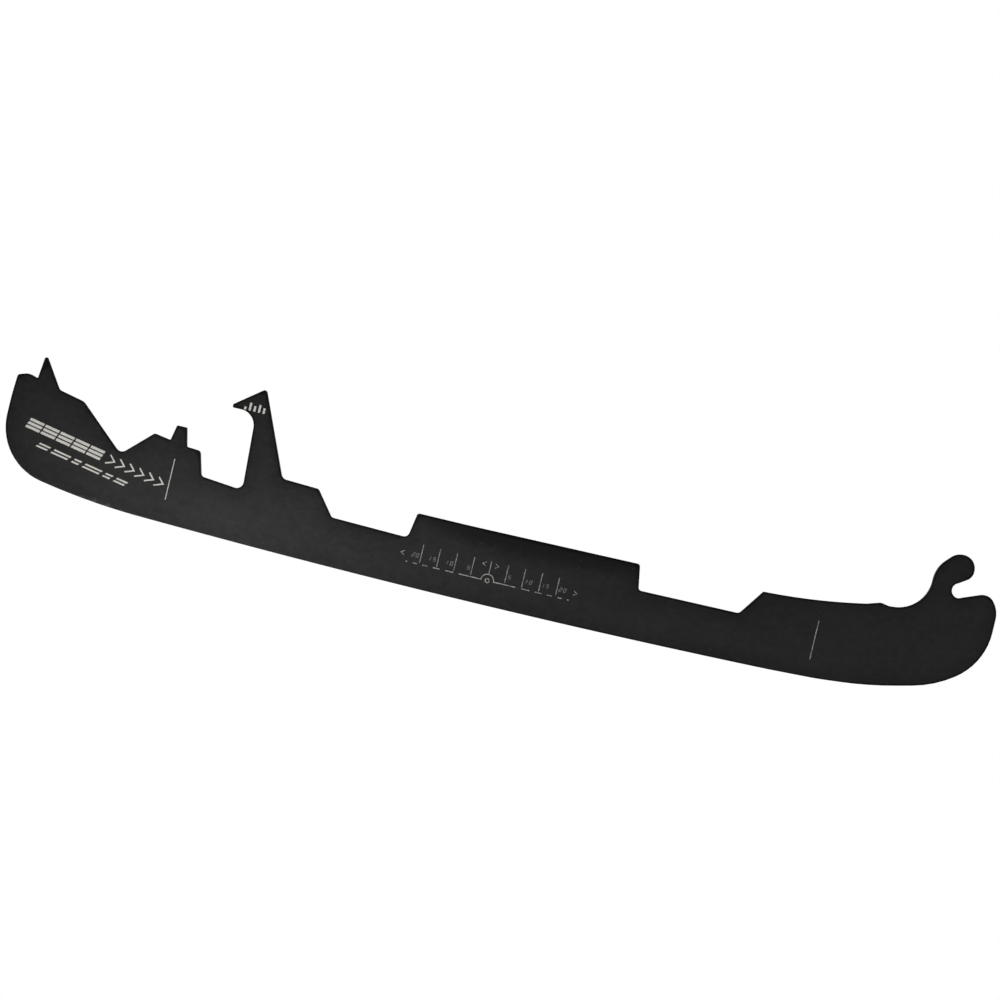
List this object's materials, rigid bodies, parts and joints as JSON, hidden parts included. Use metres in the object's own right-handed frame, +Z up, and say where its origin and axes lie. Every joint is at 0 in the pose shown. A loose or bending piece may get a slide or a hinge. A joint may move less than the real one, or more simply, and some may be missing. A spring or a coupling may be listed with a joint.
{
  "type": "ice skate runner",
  "caption": "Flat black steel runner for an ice hockey skate, with a pin seat at the toe and a latch hook at the heel end.",
  "frame": {"origin": "lowest point of the running edge, under the centre mark, at mid thickness; 0.3 mm towards the toe from the middle of the length", "axes": "+X towards the toe, +Z up from the ice, +Y through the plate away from the marked face"},
  "size_m": [0.2888, 0.003, 0.0461],
  "materials": {
    "black_coated_steel": "satin black hard coating on stainless steel",
    "fine_marks": "fine laser-marked lines, matt",
    "bright_marks": "bold laser-marked areas, matt and pale"
  },
  "bodies": {
    "root": {"runner": "black_coated_steel", "centre_scale": "fine_marks", "scale_numbers": "fine_marks", "index_lines": "bright_marks", "heel_stripes": "bright_marks", "size_bars": "bright_marks"}
  },
  "joints": []
}
